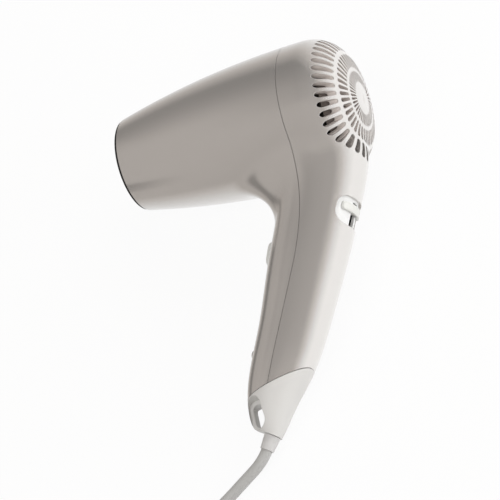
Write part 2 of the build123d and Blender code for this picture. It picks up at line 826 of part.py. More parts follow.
flange_top = -SWITCH_SEAT - FIT
flange_foot = flange_top - FLANGE_THICK
with BuildPart() as switch_body:
    flange = (SWITCH_WIDTH, FLANGE_LENGTH)
    case = (SWITCH_WIDTH, SWITCH_LENGTH)
    add(prism(SWITCH_PLANE, flange, SWITCH_CORNER, flange_foot, flange_top))
    add(prism(SWITCH_PLANE, case, SWITCH_CORNER, flange_foot - SWITCH_DEPTH, flange_top))
    add(stem_slot, mode=Mode.SUBTRACT)
    for side in (-1, 1):
        hole = rod(SWITCH_PLANE, SWITCH_SCREW_R + FIT, flange_foot, flange_top, (0, side * post_centre))
        add(hole, mode=Mode.SUBTRACT)

with BuildPart() as switch_screws:
    for side in (-1, 1):
        spot = (0, side * post_centre)
        head_foot = flange_foot - SWITCH_SCREW_R
        add(rod(SWITCH_PLANE, 2 * SWITCH_SCREW_R, head_foot, flange_foot, spot))
        add(rod(SWITCH_PLANE, SWITCH_SCREW_R, head_foot, -SWITCH_SEAT / 2, spot))

# Push button and the switch behind it
button_size = (BUTTON_WIDTH, BUTTON_LENGTH)
button_corner = BUTTON_WIDTH / 2 - SLIDE_GAP
flange_size = (BUTTON_WIDTH + 2 * BUTTON_FLANGE, BUTTON_LENGTH + 2 * BUTTON_FLANGE)
button_foot = BUTTON_FLANGE_TOP - BUTTON_FLANGE_THICK
with BuildPart() as hold_button:
    add(prism(BUTTON_PLANE, button_size, button_corner, BUTTON_FLANGE_TOP, BUTTON_RISE))
    crown = hold_button.faces().sort_by(Axis(BUTTON_PLANE.origin, BUTTON_PLANE.z_dir))[-1]
    fillet(crown.edges(), BUTTON_EDGE)
    add(prism(BUTTON_PLANE, flange_size, button_corner, button_foot, BUTTON_FLANGE_TOP))
    add(rod(BUTTON_PLANE, PLUNGER_R, BUTTON_SWITCH_TOP - BUTTON_TRAVEL, button_foot))

with BuildPart() as button_switch:
    switch_size = (BUTTON_SWITCH_WIDTH, BUTTON_SWITCH_LENGTH)
    switch_foot = BUTTON_SWITCH_TOP - BUTTON_SWITCH_DEPTH
    add(prism(BUTTON_PLANE, switch_size, RIB_THICK / 2, switch_foot, BUTTON_SWITCH_TOP))
    well_foot = BUTTON_SWITCH_TOP - 3 * BUTTON_TRAVEL
    add(rod(BUTTON_PLANE, PLUNGER_R + SLIDE_GAP, well_foot, BUTTON_SWITCH_TOP), mode=Mode.SUBTRACT)

# Housing screw and the plug that covers it
with BuildPart() as housing_screw:
    add(rod(SCREW_PLANE, SCREW_HEAD_R, COUNTERBORE_DEPTH - SCREW_HEAD_THICK, COUNTERBORE_DEPTH))
    add(rod(SCREW_PLANE, SCREW_R, COUNTERBORE_DEPTH, COUNTERBORE_DEPTH + SCREW_LENGTH))

with BuildPart() as screw_cap:
    add(rod(SCREW_PLANE, COUNTERBORE_R - FIT, -COVER_RISE, COVER_SKIRT))
    crown = screw_cap.faces().sort_by(Axis(SCREW_PLANE.origin, SCREW_PLANE.z_dir))[0]
    fillet(crown.edges(), COVER_RISE - FIT)

# End cap with the hanging eye
flange_end = -BOOT_INSIDE
hollow_limit = prism(NECK_PLANE, (FAR, FAR), 1, -FAR, flange_end)
with BuildPart() as hollow:
    add(common(inner, hollow_limit))
    with Locations((HOLLOW_FRONT_X, 0, NECK_Z)):
        Box(FAR, FAR, FAR, align=(Align.MAX, Align.CENTER, Align.CENTER), mode=Mode.SUBTRACT)
eye_axis = (-sin(radians(EYE_LEAN)), cos(radians(EYE_LEAN)))
eye_reach = (EYE_LENGTH - EYE_WIDTH) / 2


def around_eye(edge):
    """Whether an edge runs round the mouth of the hanging eye."""
    middle = edge @ 0.5
    along = (middle.X - EYE_CENTRE[0]) * eye_axis[0] + (middle.Z - EYE_CENTRE[1]) * eye_axis[1]
    across = (middle.X - EYE_CENTRE[0]) * eye_axis[1] - (middle.Z - EYE_CENTRE[1]) * eye_axis[0]
    past = max(abs(along) - eye_reach, 0)
    on_flat = abs(abs(middle.Y) - LUG_THICK / 2) < FIT / 2
    return on_flat and hypot(across, past) < EYE_WIDTH / 2 + FIT


spigot_skin = WALL + FIT
spigot_foot = joint_zone(-SPIGOT_REACH, above=True)
with BuildPart() as spigot:
    add(
        layer(
            spigot_skin,
            spigot_skin + SPIGOT_THICK,
            spigot_foot,
            joint_zone(SPIGOT_REACH, above=False),
        )
    )
    add(layer(WALL / 2, spigot_skin + SPIGOT_THICK, spigot_foot, below_joint))
    add(rod(SCREW_PLANE, BOSS_R + FIT, 0, FAR / 4), mode=Mode.SUBTRACT)

with BuildPart() as hanging_cap:
    add(outer)
    add(below_joint, mode=Mode.INTERSECT)
    add(prism(NECK_PLANE, (FAR, FAR), 1, -FAR, 0), mode=Mode.INTERSECT)
    add(hollow.part, mode=Mode.SUBTRACT)
    add(spigot.part)
    add(rod(NECK_PLANE, BOOT_NECK_R + FIT, -FAR / 4, 0), mode=Mode.SUBTRACT)
    add(rod(NECK_PLANE, BOOT_FLANGE_R + FIT, -FAR / 4, flange_end), mode=Mode.SUBTRACT)
    for side in (-1, 1):
        with BuildSketch(Plane.XZ.offset(side * LUG_THICK / 2)):
            with Locations(EYE_CENTRE):
                SlotOverall(EYE_LENGTH + 2 * LUG_MARGIN, EYE_WIDTH + 2 * LUG_MARGIN, rotation=90 + EYE_LEAN)
        extrude(amount=side * BARREL_R, mode=Mode.SUBTRACT)
    with BuildSketch(Plane.XZ):
        with Locations(EYE_CENTRE):
            SlotOverall(EYE_LENGTH, EYE_WIDTH, rotation=90 + EYE_LEAN)
    extrude(amount=BARREL_R, both=True, mode=Mode.SUBTRACT)
    fillet([edge for edge in hanging_cap.edges() if around_eye(edge)], EYE_EDGE)

# Strain relief, cord grip and the cord's end inside
boot_head = flange_end - BOOT_FLANGE_THICK
with BuildPart() as strain_relief:
    add(rod(NECK_PLANE, BOOT_FLANGE_R, boot_head, flange_end))
    add(rod(NECK_PLANE, BOOT_NECK_R, flange_end, FIT))
    with BuildSketch(NECK_PLANE.offset(FIT)):
        Circle(BOOT_COLLAR_R)
    with BuildSketch(NECK_PLANE.offset(BOOT_OUTSIDE)):
        Circle(BOOT_TIP_R)
    loft()

grip_foot = boot_head - FIT
with BuildPart() as cord_grip:
    add(rod(NECK_PLANE, GRIP_R, grip_foot - GRIP_LENGTH, grip_foot))
    add(rod(NECK_PLANE, CORD_D / 2 + RUN_GAP, grip_foot - GRIP_LENGTH, grip_foot), mode=Mode.SUBTRACT)

tail_end = boot_head - TAIL_LENGTH
with BuildPart() as cord_tail:
    add(rod(NECK_PLANE, CORD_D / 2, tail_end, boot_head))

# Leads: cord to switch, switch to rectifier
lead_y = BOSS_R + 2 * LEAD_R + FIT
terminal_foot = flange_foot - TERMINAL_DEPTH
with BuildPart() as supply_leads:
    for side in (-1, 1):
        core_y = side * CORE_SPREAD
        terminal_y = side * TERMINAL_SPREAD
        case_end = -SWITCH_LENGTH / 2
        route = [
            NECK_PLANE.from_local_coords((core_y, 0, tail_end)),
            NECK_PLANE.from_local_coords((core_y, 0, tail_end - CORE_RUN)),
            *[Vector(x, side * lead_y, z) for x, z in SUPPLY_STATIONS],
            SWITCH_PLANE.from_local_coords((terminal_y, case_end - TERMINAL_RUN, terminal_foot)),
            SWITCH_PLANE.from_local_coords((terminal_y, case_end, terminal_foot)),
        ]
        add(tube(route, LEAD_R, LEAD_BEND_R))

board_middle = board_front + DIODE_BOARD / 2
with BuildPart() as heater_leads:
    for side in (-1, 1):
        terminal_y = side * TERMINAL_SPREAD
        case_end = SWITCH_LENGTH / 2
        route = [
            SWITCH_PLANE.from_local_coords((terminal_y, case_end, terminal_foot)),
            SWITCH_PLANE.from_local_coords((terminal_y, case_end + TERMINAL_RUN, terminal_foot)),
            *[Vector(x, terminal_y, z) for x, z in HEATER_STATIONS],
            Vector(board_middle, terminal_y, HEATER_LEAD_END),
            Vector(board_middle, terminal_y, -MOTOR_R),
        ]
        add(tube(route, LEAD_R, LEAD_BEND_R))

PIECES = {
    "front_housing": front_housing,
    "rear_housing": rear_housing,
    "outlet_grille": outlet_grille,
    "mica_tube": mica_tube,
    "mica_board_a": mica_board_a,
    "mica_board_b": mica_board_b,
    "heater_coil": heater_coil,
    "thermostat": thermostat,
    "thermal_fuse": thermal_fuse,
    "motor_can": motor_can,
    "motor_end_bell": motor_end_bell,
    "shaft_bushes": shaft_bushes,
    "motor_magnets": motor_magnets,
    "motor_shaft": motor_shaft,
    "rotor": rotor,
    "fan": fan,
    "air_guide": air_guide,
    "diode_board": diode_board,
    "rectifier_diodes": rectifier_diodes,
    "switch_knob": switch_knob,
    "switch_body": switch_body,
    "switch_screws": switch_screws,
    "hold_button": hold_button,
    "button_switch": button_switch,
    "housing_screw": housing_screw,
    "screw_cap": screw_cap,
    "hanging_cap": hanging_cap,
    "strain_relief": strain_relief,
    "cord_grip": cord_grip,
    "cord_tail": cord_tail,
    "supply_leads": supply_leads,
    "heater_leads": heater_leads,
}

# Lay it down with its bottom centre at the origin
LAID = Rot(0, LIE_PITCH, 0) * Rot(LIE_ROLL - 90, 0, 0)
extent = Compound(children=[LAID * piece.part for piece in PIECES.values()]).bounding_box()
middle = extent.center()
REST = Pos(-middle.X, -middle.Y, -extent.min.Z) * LAID
REST_PLANE = Plane(REST)


def plan_way(heading):
    """Level direction with the given heading."""
    return Vector(-cos(heading), -sin(heading), 0)


# Cord from the strain relief to the coil
floor_z = CORD_D / 2
lower_z = floor_z + COIL_LIFT
upper_z = lower_z + TURN_STEP
exit_point = REST_PLANE.from_local_coords(NECK_PLANE.from_local_coords((0, 0, BOOT_OUTSIDE)))
first_corner = REST_PLANE.from_local_coords(NECK_PLANE.from_local_coords((0, 0, BOOT_OUTSIDE + FIRST_RUN)))
exit_way = first_corner - exit_point
second_way = plan_way(atan2(-exit_way.Y, -exit_way.X) - radians(FIRST_TURN))
entry_way = plan_way(radians(ENTRY_HEADING))
plug_way = plan_way(radians(PLUG_HEADING))
floor_corner = Vector(first_corner.X, first_corner.Y, floor_z) + second_way * SECOND_RUN
lift_corner = floor_corner + entry_way * THIRD_RUN + Vector(0, 0, COIL_LIFT)
cord_end = lift_corner + entry_way * LAST_RUN
entry = cord_end + entry_way * CORD_D
coil_centre = entry + Vector(-entry_way.Y, entry_way.X, 0) * COIL_OUT_R
cord_route = [exit_point, first_corner, floor_corner, lift_corner, cord_end]
bends = []
for before, corner, after in zip(cord_route, cord_route[1:], cord_route[2:]):
    turn = radians((corner - before).get_angle(after - corner))
    bends.append(BEND_SHARE * min((corner - before).length, (after - corner).length) / tan(turn / 2))
with BuildPart() as power_cord:
    with BuildLine() as route:
        FilletPolyline(*cord_route, radius=bends)
    with BuildSketch(Plane(route.line @ 0, z_dir=route.line % 0)):
        Circle(CORD_D / 2)
    sweep()
cord_length = Wire(route.edges()).length
cord_section = pi * CORD_D**2 / 4


def spiral(angle):
    """Point on the coil: inwards on the floor, up in the half turn that follows, outwards above."""
    inward = 2 * pi * LAYER_TURNS
    climb = min(max((angle - inward) / pi, 0), 1)
    outward = max(angle - inward - pi, 0)
    spread = min(outward / (1.5 * pi), 1)
    turned_in = min(angle, inward + pi)
    reach = COIL_OUT_R + TURN_STEP / (2 * pi) * (outward - turned_in)
    reach += COIL_SPREAD * spread * spread * (3 - 2 * spread)
    rise = TURN_STEP * climb * climb * (3 - 2 * climb)
    bearing = radians(ENTRY_HEADING) + angle
    return coil_centre + Vector(-reach * sin(bearing), reach * cos(bearing), rise)


def heading(angle):
    """Direction of the coil at an angle."""
    return (spiral(angle + HEADING_STEP) - spiral(angle - HEADING_STEP)).normalized()


def biarc(start, start_heading, end, end_heading):
    """Point where two arcs of equal tangent length join the two given ends."""
    across = end - start
    both = start_heading + end_heading
    bend = 2 * (1 - start_heading.dot(end_heading))
    forward = across.dot(both)
    reach = (sqrt(forward**2 + bend * across.dot(across)) - forward) / bend
    return (start + end + (start_heading - end_heading) * reach) / 2


# Coil of put-away cord, its tie and the plug
coil_angle = 2 * pi * (2 * LAYER_TURNS + 1) + radians(PLUG_HEADING - ENTRY_HEADING)
quarters = round(coil_angle / (pi / 2))
angles = [coil_angle / quarters * number for number in range(quarters + 1)]
headings = [entry_way] + [heading(angle) for angle in angles[1:-1]] + [plug_way]
stations = list(zip([spiral(angle) for angle in angles], headings))
plug_root = spiral(coil_angle) + plug_way * PLUG_LEAD
with BuildPart() as cord_coil:
    with BuildLine() as wound:
        last = Line(cord_end, entry)
        for (start, start_heading), (end, end_heading) in zip(stations, stations[1:]):
            join = biarc(start, start_heading, end, end_heading)
            last = TangentArc(last @ 1, join, tangent=last % 1)
            last = TangentArc(last @ 1, end, tangent=last % 1)
        Line(last @ 1, plug_root)
    with BuildSketch(Plane(wound.line @ 0, z_dir=wound.line % 0)):
        Circle(CORD_D / 2)
    sweep()

samples = SAMPLES_IN_TURN * quarters // 4
wound_wire = Wire(wound.edges())
trace = [wound_wire @ (number / samples) for number in range(samples + 1)]
apart = SAMPLES_IN_TURN // 3
self_gap = min(
    (one - two).length - CORD_D for number, one in enumerate(trace) for two in trace[number + apart :]
)

tie_in = COIL_OUT_R - TURN_STEP * (LAYER_TURNS + 0.5) - CORD_D / 2 - FIT
tie_out = COIL_OUT_R + COIL_SPREAD + CORD_D / 2
tie_size = (tie_out - tie_in, upper_z - lower_z + CORD_D + 2 * SEAM_GAP)
tie_plane = Plane(
    origin=(coil_centre.X + (tie_in + tie_out) / 2, coil_centre.Y, (lower_z + upper_z) / 2),
    x_dir=(1, 0, 0),
    z_dir=(0, -1, 0),
)
with BuildPart() as cord_tie:
    with BuildSketch(tie_plane):
        RectangleRounded(tie_size[0] + 2 * TIE_THICK, tie_size[1] + 2 * TIE_THICK, CORD_D / 2 + TIE_THICK)
        RectangleRounded(*tie_size, CORD_D / 2, mode=Mode.SUBTRACT)
    extrude(amount=TIE_WIDTH / 2, both=True)

plug_plane = Plane(origin=plug_root, x_dir=(1, 0, 0), z_dir=plug_way)
with BuildPart() as plug_body:
    for along, width, thick in PLUG_SECTIONS:
        with BuildSketch(plug_plane.offset(along)):
            RectangleRounded(width, thick, thick / 2 - SEAM_GAP)
    loft()

plug_face = PLUG_SECTIONS[-1][0]
with BuildPart() as plug_pins:
    for side in (-1, 1):
        pin = rod(plug_plane, PIN_R, plug_face, plug_face + PIN_LENGTH, centre=(side * PIN_SPACING / 2, 0))
        add(pin)

CORD_PIECES = {
    "power_cord": power_cord,
    "cord_coil": cord_coil,
    "cord_tie": cord_tie,
    "plug_body": plug_body,
    "plug_pins": plug_pins,
}

os.makedirs("parts", exist_ok=True)
for name, piece in PIECES.items():
    placed = REST * piece.part
    placed.label = name
    export_step(placed, f"parts/{name}.step")
for name, piece in CORD_PIECES.items():
    piece.part.label = name
    export_step(piece.part, f"parts/{name}.step")

print("size", extent.size)
print("cord bend radii", [round(bend, 1) for bend in bends])
print("cord length", round(cord_length + wound_wire.length), "least gap in the coil", round(self_gap, 2))
print("cord volumes", round(power_cord.part.volume), round(cord_section * cord_length))
print("coil volumes", round(cord_coil.part.volume), round(cord_section * wound_wire.length))
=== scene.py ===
import json
from math import asin, atan2, cos, pi, radians, sin
from typing import NamedTuple

import bmesh
import bpy
from bpy.props import FloatProperty, FloatVectorProperty, IntProperty, PointerProperty
from mathutils import Matrix, Vector


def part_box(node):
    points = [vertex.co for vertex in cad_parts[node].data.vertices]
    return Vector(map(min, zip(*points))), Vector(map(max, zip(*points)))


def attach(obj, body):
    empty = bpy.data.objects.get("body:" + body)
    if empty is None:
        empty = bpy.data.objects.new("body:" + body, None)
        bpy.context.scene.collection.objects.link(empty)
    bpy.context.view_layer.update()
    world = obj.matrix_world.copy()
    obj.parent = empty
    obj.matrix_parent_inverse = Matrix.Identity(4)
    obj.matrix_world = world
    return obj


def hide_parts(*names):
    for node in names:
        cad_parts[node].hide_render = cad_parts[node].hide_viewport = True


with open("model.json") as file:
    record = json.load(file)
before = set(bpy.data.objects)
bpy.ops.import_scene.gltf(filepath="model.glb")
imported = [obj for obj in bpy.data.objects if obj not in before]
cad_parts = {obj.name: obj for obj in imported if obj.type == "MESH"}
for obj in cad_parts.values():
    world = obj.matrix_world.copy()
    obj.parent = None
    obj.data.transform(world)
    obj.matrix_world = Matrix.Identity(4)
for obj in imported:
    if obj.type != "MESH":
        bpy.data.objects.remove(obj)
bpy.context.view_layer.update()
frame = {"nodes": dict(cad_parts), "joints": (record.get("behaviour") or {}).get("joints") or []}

bl_info = {
    "name": "Compact Hair Dryer",
    "version": (1, 0, 0),
    "blender": (4, 5, 0),
    "location": "3D View > Sidebar > Dryer",
    "description": "Finishes, cord and studio for a hair dryer lying on its side",
    "category": "Object",
}


def joint_called(name):
    """One of the frame's joints."""
    return next(joint for joint in frame["joints"] if joint["name"] == name)


# How the dryer lies: its own upright axes, barrel along X and handle down -Z, turned and set down
LIE_PITCH = radians(-4.0)
LIE_ROLL = radians(8.97)
LAID = Matrix.Rotation(LIE_PITCH, 3, "Y") @ Matrix.Rotation(LIE_ROLL - pi / 2, 3, "X")
FAN_PLACE = Vector((-0.02715, 0.0, 0.0))
SET_DOWN = Vector(joint_called("fan_spin")["pos_m"]) - LAID @ FAN_PLACE
MILLIMETRE = 0.001
WHITE = (1.0, 1.0, 1.0)

# Dome and its rounded shoulder, in millimetres in the upright axes
DOME_R = 90.0
DOME_X = -76.0
DOME_EDGE = 22.4
SHOULDER_R = 22.0
SHOULDER_X = -10.2
SHOULDER_RING = 17.0

# The slide switch's pocket, in millimetres in the upright axes
POCKET_UP = LAID.transposed() @ Vector(joint_called("switch_slide")["axis"])
POCKET_MIDDLE = Vector((2.6, 0.0, -67.4))
POCKET_WIDTH = 26.0
POCKET_HEIGHT = 15.6
POCKET_CORNER = 6.0
POCKET_REACH = 15.0
POCKET_BLUR = 0.2

# Shell paint: its patterns to the metre, their depth in metres, and where it ends in the slots in millimetres
FLAKE_SCALE = 5200.0
FLAKE_DETAIL = 1.0
DRIFT_SCALE = 35.0
PEEL_SCALE = 420.0
PEEL_DEPTH = 0.000003
SILVER_DARK = 0.97
SILVER_LIGHT = 1.02
# The slot walls turn to unpainted plastic this shallow partly as painted light: it stands in for the light
# that the walls catch.
PAINT_END = (0.2, 0.45)
PAINT_IOR = 1.5
PAINT_METAL = 0.8
PAINT_ROUGHNESS = 0.14
FLAKE_ROUGHNESS = 0.04
BARE_ROUGHNESS = 0.3
LACQUER = 0.4
LACQUER_ROUGHNESS = 0.06
SHELL_EDGE = 0.0003

# Moulded finishes: mottle and grain to the metre, depth and rounded edges in metres
MOTTLE_SCALE = 90.0
MOTTLE_SHADE = 0.94
GRAIN_SCALE = 2500.0
GRAIN_DEPTH = 0.00001
GRAIN_GLOSS = 0.12
NOISE_DETAIL = 2.0
EDGE_SAMPLES = 6
CAP_ROUGHNESS = 0.36
CAP_EDGE = 0.0006
KNOB_ROUGHNESS = 0.4
KNOB_EDGE = 0.0004
RELIEF_ROUGHNESS = 0.5
RELIEF_EDGE = 0.0004
CORD_ROUGHNESS = 0.42
SLEEVE_ROUGHNESS = 0.45

# Pieces made here are smooth but for edges sharper than this
SHARP_EDGE = radians(35.0)

# The lint screen behind the dome's slots, in millimetres in the upright axes
RIB_DEPTH = 4.2
SCREEN_GAP = 0.5
SCREEN_HOLE_R = 6.0
SCREEN_EDGE_R = 31.0
SCREEN_THICK = 0.4
SCREEN_ARC_STEPS = 8
SCREEN_TURN_STEPS = 72
SCREEN_MERGE = 0.01

# The screen's felt, with painted shade from one radius to another in the same millimetres
FELT_GREY = (0.42, 0.39, 0.37)
FELT_SHADED = (0.12, 0.1, 0.09)
FELT_SCALE = 4000.0
FELT_DEPTH = 0.0001
FELT_ROUGHNESS = 0.74
SHADE_START_R = 18.0
SHADE_FULL_R = 27.0
SHADE_PATCHES = 3.0

# The hook-and-loop tie round the coil, in metres
TIE_THICK = 0.0009
TIE_CORNER = 0.0039
TIE_TAB = 0.014
TIE_SEGMENTS = 6
END_FACING = 0.5
TIE_COLOUR = (0.035, 0.035, 0.038)
TIE_ROUGHNESS = 0.85
TIE_WEAVE_SCALE = 3000.0
TIE_WEAVE_DEPTH = 0.0002

# The ringed sleeve where the cord enters the plug, in metres
SLEEVE_RINGS = 4
SLEEVE_PITCH = 0.0032
SLEEVE_GROOVE = 0.0011
SLEEVE_ROOT_R = 0.0058
SLEEVE_TIP_R = 0.0042
SLEEVE_BORE_R = 0.0029
SLEEVE_EDGE = 0.0003
SLEEVE_EDGE_SEGMENTS = 2
SLEEVE_TURN_STEPS = 40
SLEEVE_MERGE = 0.000001
SLEEVE_RIM_ANGLE = radians(60.0)

# The cord's route: out of the strain relief in the upright axes (mm), then along the floor to the coil (m)
NECK = Vector((-55.6, 0.0, -178.0))
NECK_LEAN = radians(29.0)
NECK_WAY = Vector((-sin(NECK_LEAN), 0.0, -cos(NECK_LEAN)))
RELIEF_OUTSIDE = 8.0
FIRST_RUN = 6.5
CORD_START = [NECK + NECK_WAY * RELIEF_OUTSIDE, NECK + NECK_WAY * (RELIEF_OUTSIDE + FIRST_RUN)]
CORD_FLOOR = [
    (-0.0146, -0.1232, 0.005),
    (-0.027, -0.133, 0.0031),
    (-0.04153, -0.14538, 0.0042),
    (-0.05192, -0.15138, 0.0042),
]
COIL_CENTRE = Vector((-0.03312, -0.19595, 0.0042))
ENTRY_HEADING = radians(30.0)
PLUG_HEADING = radians(90.0)
COIL_SPREAD = 0.0032
SPREAD_TURN = 1.5 * pi
PLUG_LEAD = 0.034
CORD_FACETS = 6
CORD_NODES = ["plug_body", "plug_pins"]
CORD_PIECES = ["coil_tie", "plug_sleeve"]

# The photograph's camera in the upright axes: right and back directions, and the point looked at in mm
VIEW_RIGHT = Vector((0.899, 0.4317, -0.0738))
VIEW_BACK = Vector((0.3639, -0.83, -0.4226))
LOOK_AT = (-53.99, -13.3, -77.8)
SENSOR_MM = 36.0
CLIP_END = 50.0

# The sky's brightness by direction: a bright sweep below and to the right, and a dim room elsewhere
SWEEP_SIDE = 0.82
SWEEP_BACK = 0.3
SWEEP_GAIN = 0.63
SWEEP_LEVEL = 0.47
ROOM_LEVEL = 0.27

# The room is brighter by a window on the left and towards the front, and darker at the back
WINDOW_LEVEL = 0.15
WINDOW_SPAN = (0.3, 0.65)
FRONT_LEVEL = 0.1
FRONT_SPAN = (0.0, 0.5)
DIP_SPAN = (-0.1, 0.8)
DIP_DEPTH = 0.56
DIP_LEFT_SPAN = (0.7, 0.8)
DIP_LEFT_LIFT = 0.4

# A dark strip low on the left draws the handle's edge
STRIP_TOP = (-0.05, 0.08)
STRIP_FOOT = (0.2, 0.4)
STRIP_LEFT_SPAN = (0.6, 0.75)
STRIP_DEPTH = 0.6

# The dim parts of the sky are a little warm
WARM_TINT = (1.0, 0.93, 0.87)
WARM_SPAN = (0.35, 0.85)

# The floor: half its side in metres, and how far it glows white for the camera
FLOOR_REACH = 8.0
FLOOR_ROUGHNESS = 0.9
FLOOR_GLOW = 0.93


class Lamp(NamedTuple):
    """A soft lamp: its direction as right, up and back shares, then metres and watts."""

    name: str
    way: tuple
    distance: float
    size: tuple
    power: float


LAMPS = [
    Lamp("rear_softbox", (0.1, 0.95, 0.1), 0.9, (0.9, 0.5), 4.0),
    Lamp("side_softbox", (0.9, 0.2, 0.4), 0.9, (0.5, 0.9), 5.5),
    Lamp("front_fill", (-0.5, -0.1, 0.9), 1.2, (1.0, 1.0), 6.5),
]


class Stock(NamedTuple):
    """What some of the CAD nodes are made of."""

    name: str
    colour: tuple
    roughness: float
    nodes: list
    metal: float = 0.0
    grain: float = GRAIN_SCALE


PLASTICS = [
    Stock("black_plastic", (0.012, 0.012, 0.012), 0.4, ["outlet_grille", "button_switch"]),
    Stock("grey_plastic", (0.42, 0.39, 0.37), 0.5, ["fan", "air_guide"]),
    Stock("natural_plastic", (0.74, 0.74, 0.71), 0.45, ["motor_end_bell", "cord_grip"]),
    Stock("lead_sheath", (0.75, 0.75, 0.74), 0.4, ["supply_leads", "heater_leads"]),
]
BOARDS = [
    Stock("phenolic", (0.3, 0.2, 0.15), 0.45, ["switch_body"]),
    Stock("brown_laminate", (0.26, 0.17, 0.08), 0.5, ["diode_board"]),
    Stock("mica_sheet", (0.5, 0.42, 0.28), 0.45, ["mica_tube", "mica_board_a", "mica_board_b"], grain=600.0),
    Stock("ferrite", (0.06, 0.06, 0.06), 0.6, ["motor_magnets", "rectifier_diodes"]),
]
ZINC_PLATED = ["motor_can", "motor_shaft", "housing_screw", "switch_screws", "thermostat", "thermal_fuse"]
METALS = [
    Stock("zinc_plate", (0.55, 0.55, 0.56), 0.32, ZINC_PLATED, metal=1.0),
    Stock("nickel_plate", (0.66, 0.64, 0.6), 0.22, ["plug_pins"], metal=1.0),
    Stock("heating_wire", (0.36, 0.33, 0.31), 0.4, ["heater_coil"], metal=1.0),
    Stock("sintered_bronze", (0.5, 0.34, 0.16), 0.45, ["shaft_bushes"], metal=1.0),
    Stock("rotor_iron", (0.22, 0.18, 0.16), 0.5, ["rotor"], metal=0.8),
]


def tint(name, description, default):
    """A colour that the user can change."""
    return FloatVectorProperty(
        name=name, description=description, default=default, size=3, min=0.0, max=1.0, subtype="COLOR"
    )


def metres(name, description, default):
    """A length in metres that the user can change."""
    return FloatProperty(name=name, description=description, default=default, unit="LENGTH")


class DryerPaint(bpy.types.PropertyGroup):
    """Colours of the outside."""

    shell: tint("Shell", "Silver pearl paint of the two housings", (0.8, 0.778, 0.756))
    # Unpainted plastic in the slots, partly real and partly painted light: it is made lighter than the
    # plastic is, for the light on the slot walls.
    inside: tint("Bare plastic", "Plastic down in the slots, where no paint reaches", (0.7, 0.65, 0.62))
    # Painted light: the switch's pocket is silver like the shell, and this lighter colour stands in for the
    # light that falls in it.
    pocket: tint("Switch pocket", "Bare light plastic in the slide switch's pocket", (0.84, 0.85, 0.85))
    cap: tint("End cap", "Lighter satin paint of the end cap", (0.71, 0.705, 0.69))
    knob: tint("Knob", "Plastic of the slide switch's knob and the push button", (0.76, 0.77, 0.74))
    relief: tint("Strain relief", "Rubber of the strain relief at the end cap", (0.66, 0.655, 0.65))
    cord: tint("Cord", "Sheath of the mains cord and its plug", (0.5, 0.5, 0.49))


class DryerCord(bpy.types.PropertyGroup):
    """Sizes of the mains cord."""

    diameter: metres("Diameter", "Thickness of the sheath", 0.006)
    length: metres("Length", "Whole cord, coil and all", 1.83)
    out_radius: metres("Coil radius", "Radius of the lower layer's first turn", 0.048)
    turn_step: metres("Turn step", "Distance between neighbouring turns", 0.0066)
    layer_turns: IntProperty(
        name="Turns in a layer", description="Turns wound inwards, and again outwards above", default=3
    )
    turn_points: IntProperty(
        name="Points in a turn", description="Control points in each turn of the coil", default=16
    )


class DryerStage(bpy.types.PropertyGroup):
    """Camera and floor."""

    lens: FloatProperty(
        name="Lens", description="Focal length on a 36 mm sensor", default=138.1, unit="CAMERA"
    )
    distance: metres("Distance", "From the camera to the point it looks at", 1.017)
    floor: tint("Floor", "Floor paint", (0.86, 0.86, 0.86))


def placed(point):
    """Place in the scene of a point given in millimetres in the dryer's upright axes."""
    return LAID @ (Vector(point) * MILLIMETRE) + SET_DOWN


def put(name, data):
    """Adds an object that holds the data to the scene."""
    thing = bpy.data.objects.new(name, data)
    bpy.context.scene.collection.objects.link(thing)
    return thing


class Value:
    """A link on its way through a node tree; arithmetic on a number adds Math nodes."""

    def __init__(self, nodes, socket):
        self.nodes = nodes
        self.socket = socket

    def step(self, operation, *others):
        """The outcome of one Math node."""
        inputs = dict(enumerate((self, *others)))
        return self.nodes.node("ShaderNodeMath", {"operation": operation}, inputs)

    def __add__(self, other):
        return self.step("ADD", other)

    __radd__ = __add__

    def __mul__(self, other):
        return self.step("MULTIPLY", other)

    __rmul__ = __mul__

    def __sub__(self, other):
        return self.step("SUBTRACT", other)

    def __rsub__(self, other):
        return self.step("MULTIPLY_ADD", -1.0, other)

    def __pow__(self, other):
        return self.step("POWER", other)

    def __abs__(self):
        return self.step("ABSOLUTE")

    def at_least(self, other):
        """The larger of two numbers."""
        return self.step("MAXIMUM", other)

    def at_most(self, other):
        """The smaller of two numbers."""
        return self.step("MINIMUM", other)

    def smooth(self, low, high):
        """Eased step from 0 at low to 1 at high."""
        settings = {"interpolation_type": "SMOOTHSTEP"}
        inputs = {"Value": self, "From Min": low, "From Max": high}
        return self.nodes.node("ShaderNodeMapRange", settings, inputs)


def pick(sockets, key):
    """A socket by its number, its name or, where names repeat, its identifier."""
    for socket in sockets:
        if socket.identifier == key:
            return socket
    return sockets[key]


class Nodes:
    """A node tree that is filled in step by step."""

    def __init__(self, tree):
        self.tree = tree

    def feed(self, node, inputs):
        """Sets or links a node's sockets, each given by its number, name or identifier."""
        for key, value in inputs.items():
            socket = pick(node.inputs, key)
            if isinstance(value, Value):
                self.tree.links.new(value.socket, socket)
            else:
                socket.default_value = value

    def node(self, kind, settings, inputs, output=0):
        """Adds a node with its settings first and then its sockets, and gives one of its outputs."""
        node = self.tree.nodes.new(kind)
        for key, value in settings.items():
            setattr(node, key, value)
        self.feed(node, inputs)
        return Value(self, pick(node.outputs, output))

    def axis(self, vector, letter):
        """One of a vector's three numbers."""
        return self.node("ShaderNodeSeparateXYZ", {}, {"Vector": vector}, letter)

    def ray(self, kind):
        """1 for rays of one kind, such as Is Camera Ray, and 0 for the rest."""
        return self.node("ShaderNodeLightPath", {}, {}, kind)

    def colour(self, share, low, high):
        """Colour between two others, each a colour or a link."""
        ends = [end if isinstance(end, Value) else (*end, 1.0) for end in (low, high)]
        sockets = {"Factor_Float": share, "A_Color": ends[0], "B_Color": ends[1]}
        return self.node("ShaderNodeMix", {"data_type": "RGBA"}, sockets, "Result_Color")


